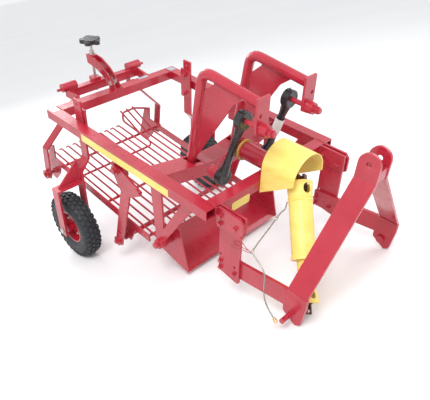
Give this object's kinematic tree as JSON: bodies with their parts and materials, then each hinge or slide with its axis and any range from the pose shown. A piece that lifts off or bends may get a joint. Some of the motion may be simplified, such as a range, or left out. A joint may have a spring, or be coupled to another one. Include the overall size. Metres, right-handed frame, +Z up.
{
  "type": "mounted vibrating potato harvester",
  "caption": "Mounted potato harvester with a digging share, a shaking rod sieve, rocking drive levers, wheels and a guarded drive shaft.",
  "frame": {"origin": "centre of the bounding box footprint, on the floor under the parked machine", "axes": "+X towards the machine's left side as it travels, +Y towards its rear, +Z up; the hitch is at -Y"},
  "size_m": [1.23, 2.2228, 1.1716],
  "materials": {
    "red_paint": "gloss",
    "black_paint": "satin",
    "yellow_plastic": "satin",
    "rubber": "matte",
    "bare_steel": "satin",
    "wire": "satin"
  },
  "bodies": {
    "frame": {"adjuster_bracket": "red_paint", "adjuster_knob": "black_paint", "adjuster_screw": "bare_steel", "bearing_housing": "red_paint", "clevis_web": "red_paint", "front_beam": "red_paint", "guard_disc": "black_paint", "input_shaft": "bare_steel", "left_brace_bar": "red_paint", "left_bracket": "red_paint", "left_column_clamp": "red_paint", "left_front_support": "red_paint", "left_hitch_pin": "red_paint", "left_hoop_pivot": "bare_steel", "left_lower_arm": "red_paint", "left_side_beam": "red_paint", "left_wheel_axle": "bare_steel", "left_wheel_column": "red_paint", "lift_frame": "red_paint", "middle_cross_member": "red_paint", "rear_beam": "red_paint", "restraint_cable": "wire", "right_brace_bar": "red_paint", "right_bracket": "red_paint", "right_column_clamp": "red_paint", "right_front_support": "red_paint", "right_hitch_pin": "red_paint", "right_hoop_pivot": "bare_steel", "right_lower_arm": "red_paint", "right_side_beam": "red_paint", "right_wheel_axle": "bare_steel", "right_wheel_column": "red_paint", "shaft_shield": "red_paint", "share": "red_paint", "tie_wire": "wire"},
    "right_wheel": {"right_wheel_rim": "red_paint", "right_tyre": "rubber"},
    "left_wheel": {"left_wheel_rim": "red_paint", "left_tyre": "rubber"},
    "rocker": {"drive_rocker": "red_paint"},
    "right_drive_rod": {"right_rod": "black_paint"},
    "left_drive_rod": {"left_rod": "black_paint"},
    "right_lever": {"right_hoop": "red_paint"},
    "left_lever": {"left_hoop": "red_paint"},
    "right_middle_arm": {"right_middle_hanger": "red_paint"},
    "left_middle_arm": {"left_middle_hanger": "red_paint"},
    "right_rear_arm": {"right_rear_hanger": "red_paint"},
    "left_rear_arm": {"left_rear_hanger": "red_paint"},
    "sieve_body": {"sieve": "red_paint"},
    "drive_shaft": {"joint_yoke": "bare_steel", "upper_guard": "yellow_plastic"},
    "drive_shaft_end": {"lower_guard": "yellow_plastic", "tractor_yoke": "black_paint"}
  },
  "joints": [
    {"name": "right_wheel_spin", "type": "hinge", "parent": "frame", "child": "right_wheel", "pos_m": [-0.518, 0.63992, 0.2], "axis": [1, 0, 0], "continuous": true},
    {"name": "left_wheel_spin", "type": "hinge", "parent": "frame", "child": "left_wheel", "pos_m": [0.518, 0.63992, 0.2], "axis": [1, 0, 0], "continuous": true},
    {"name": "drive", "type": "hinge", "parent": "frame", "child": "rocker", "pos_m": [0, -0.30558, 0.61104], "axis": [0, 0.9576, 0.2881], "range_deg": [-8, 8]},
    {"name": "right_rod_turn", "type": "hinge", "parent": "rocker", "child": "right_drive_rod", "pos_m": [-0.155, -0.33042, 0.52003], "axis": [0, 0.9576, 0.2881], "range_deg": [-6.22, 6.22]},
    {"name": "left_rod_turn", "type": "hinge", "parent": "rocker", "child": "left_drive_rod", "pos_m": [0.155, -0.33042, 0.52003], "axis": [0, 0.9576, 0.2881], "range_deg": [-6.22, 6.22]},
    {"name": "right_hoop_rock", "type": "hinge", "parent": "frame", "child": "right_lever", "pos_m": [-0.155, -0.10783, 0.53687], "axis": [1, 0, 0], "range_deg": [-3.9, 3.9]},
    {"name": "left_hoop_rock", "type": "hinge", "parent": "frame", "child": "left_lever", "pos_m": [0.155, -0.10783, 0.53687], "axis": [1, 0, 0], "range_deg": [-3.9, 3.9]},
    {"name": "right_middle_swing", "type": "hinge", "parent": "frame", "child": "right_middle_arm", "pos_m": [-0.445, 0.12344, 0.60122], "axis": [1, 0, 0], "range_deg": [-3.1, 3.1]},
    {"name": "left_middle_swing", "type": "hinge", "parent": "frame", "child": "left_middle_arm", "pos_m": [0.445, 0.12344, 0.60122], "axis": [1, 0, 0], "range_deg": [-3.1, 3.1]},
    {"name": "right_rear_swing", "type": "hinge", "parent": "frame", "child": "right_rear_arm", "pos_m": [-0.212, 0.80361, 0.82568], "axis": [1, 0, 0], "range_deg": [-3.66, 3.66]},
    {"name": "left_rear_swing", "type": "hinge", "parent": "frame", "child": "left_rear_arm", "pos_m": [0.212, 0.80361, 0.82568], "axis": [1, 0, 0], "range_deg": [-3.66, 3.66]},
    {"name": "sieve_turn", "type": "hinge", "parent": "right_middle_arm", "child": "sieve_body", "pos_m": [-0.443, 0.32235, 0.13788], "axis": [1, 0, 0], "range_deg": [-3.1, 3.1]},
    {"name": "shaft_swing", "type": "hinge", "parent": "frame", "child": "drive_shaft", "pos_m": [0, -0.66756, 0.50214], "axis": [-0.7857, -0.1782, 0.5924], "range_deg": [0, 50]},
    {"name": "shaft_slide", "type": "slide", "parent": "drive_shaft", "child": "drive_shaft_end", "axis": [0.5081, 0.3604, 0.7823], "range_m": [0, 0.09]}
  ],
  "couplings": [
    {"joint": "right_rod_turn", "follows": "drive", "ratio": -0.7647},
    {"joint": "left_rod_turn", "follows": "drive", "ratio": -0.7647},
    {"joint": "right_hoop_rock", "follows": "drive", "ratio": -0.4755},
    {"joint": "left_hoop_rock", "follows": "drive", "ratio": 0.4755},
    {"joint": "right_middle_swing", "follows": "drive", "ratio": 0.375},
    {"joint": "left_middle_swing", "follows": "drive", "ratio": 0.375},
    {"joint": "right_rear_swing", "follows": "drive", "ratio": 0.4452},
    {"joint": "left_rear_swing", "follows": "drive", "ratio": 0.4452},
    {"joint": "sieve_turn", "follows": "drive", "ratio": -0.375}
  ]
}
